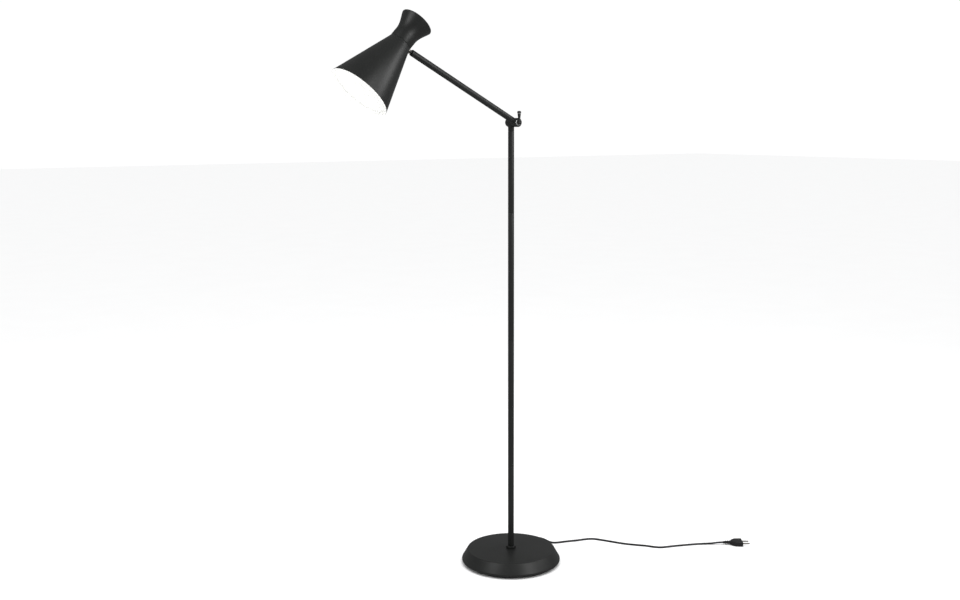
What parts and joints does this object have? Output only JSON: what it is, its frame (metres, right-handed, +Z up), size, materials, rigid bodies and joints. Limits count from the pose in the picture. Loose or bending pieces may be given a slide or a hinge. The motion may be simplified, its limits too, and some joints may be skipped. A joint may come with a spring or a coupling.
{
  "type": "adjustable arm floor lamp",
  "caption": "Free-standing reading lamp: round weighted base, slim upright post, clamped tilting arm and a pivoting cone shade with a flared neck, mains cord and plug.",
  "frame": {"origin": "middle of the underside of the foot, on the floor", "axes": "+Z up the post; the arm reaches towards -X; the clamp lever is on the -Y side"},
  "size_m": [1.1561, 0.4631, 1.4639],
  "materials": {
    "black_coat": "fine matt black powder coat on steel",
    "shade_coat": "spun aluminium, matt black powder coat outside and white enamel inside",
    "steel_zinc": "turned or stamped, bright zinc plated",
    "steel_nickel": "turned, nickel plated",
    "cast_iron": "raw sand casting",
    "black_rubber": "moulded matt rubber",
    "black_pvc": "soft PVC with a dull sheen",
    "black_nylon": "moulded nylon, fine texture",
    "white_plastic": "moulded heat-proof plastic",
    "ceramic": "glazed ceramic",
    "opal_plastic": "opal diffuser",
    "brass": "turned"
  },
  "bodies": {
    "stand": {"base_shell": "black_coat", "counterweight": "cast_iron", "bottom_plate": "steel_zinc", "foot_pad": "black_rubber", "plate_screw_1": "steel_zinc", "plate_screw_2": "steel_zinc", "plate_screw_3": "steel_zinc", "root_stud": "steel_zinc", "root_nut": "steel_zinc", "root_washer": "steel_zinc", "post_nut": "black_coat", "foot_bush": "steel_zinc", "post_tube_1": "black_coat", "post_tube_2": "black_coat", "post_tube_3": "black_coat", "post_tube_4": "black_coat", "post_coupler_1": "steel_zinc", "post_coupler_2": "steel_zinc", "post_coupler_3": "steel_zinc", "post_knuckle": "black_coat", "friction_ring": "black_nylon", "clamp_nut": "steel_zinc", "back_cap": "black_nylon", "cord_boot": "black_pvc", "cord_lead": "black_pvc", "cord_hank": "black_pvc", "cord_run": "black_pvc", "hank_tie_near": "black_rubber", "hank_tie_far": "black_rubber", "plug_body": "black_pvc", "plug_pin_1": "steel_nickel", "plug_pin_2": "steel_nickel"},
    "lever": {"clamp_lever": "black_coat", "lever_tip": "black_nylon", "clamp_screw": "steel_zinc", "spring_washer": "steel_zinc"},
    "arm": {"arm_knuckle": "black_coat", "arm_tube": "black_coat", "arm_tip": "black_coat", "pivot_screw": "black_coat", "pivot_nut": "black_coat"},
    "shade": {"shade_cone": "shade_coat", "shade_neck": "shade_coat", "neck_cap": "shade_coat", "seam_rivet_1": "steel_zinc", "seam_rivet_2": "steel_zinc", "seam_rivet_3": "steel_zinc", "shade_stud": "steel_nickel", "stud_nut": "steel_zinc", "holder_bracket": "steel_zinc", "holder_nipple": "brass", "nipple_nut": "steel_zinc", "holder_cap": "white_plastic", "contact_block": "ceramic", "holder_body": "white_plastic", "bulb_cap": "steel_zinc", "bulb_body": "white_plastic", "bulb_globe": "opal_plastic"}
  },
  "joints": [
    {"name": "arm_tilt", "type": "hinge", "parent": "stand", "child": "arm", "pos_m": [0, -0.0212, 1.19], "axis": [0, 1, 0], "range_deg": [-50, 50]},
    {"name": "shade_tilt", "type": "hinge", "parent": "arm", "child": "shade", "pos_m": [-0.31857, -0.0212, 1.36297], "axis": [0, 1, 0], "range_deg": [-60, 30]},
    {"name": "clamp_turn", "type": "hinge", "parent": "stand", "child": "lever", "pos_m": [0, -0.0363, 1.19], "axis": [0, -1, 0], "range_deg": [0, 120]}
  ]
}
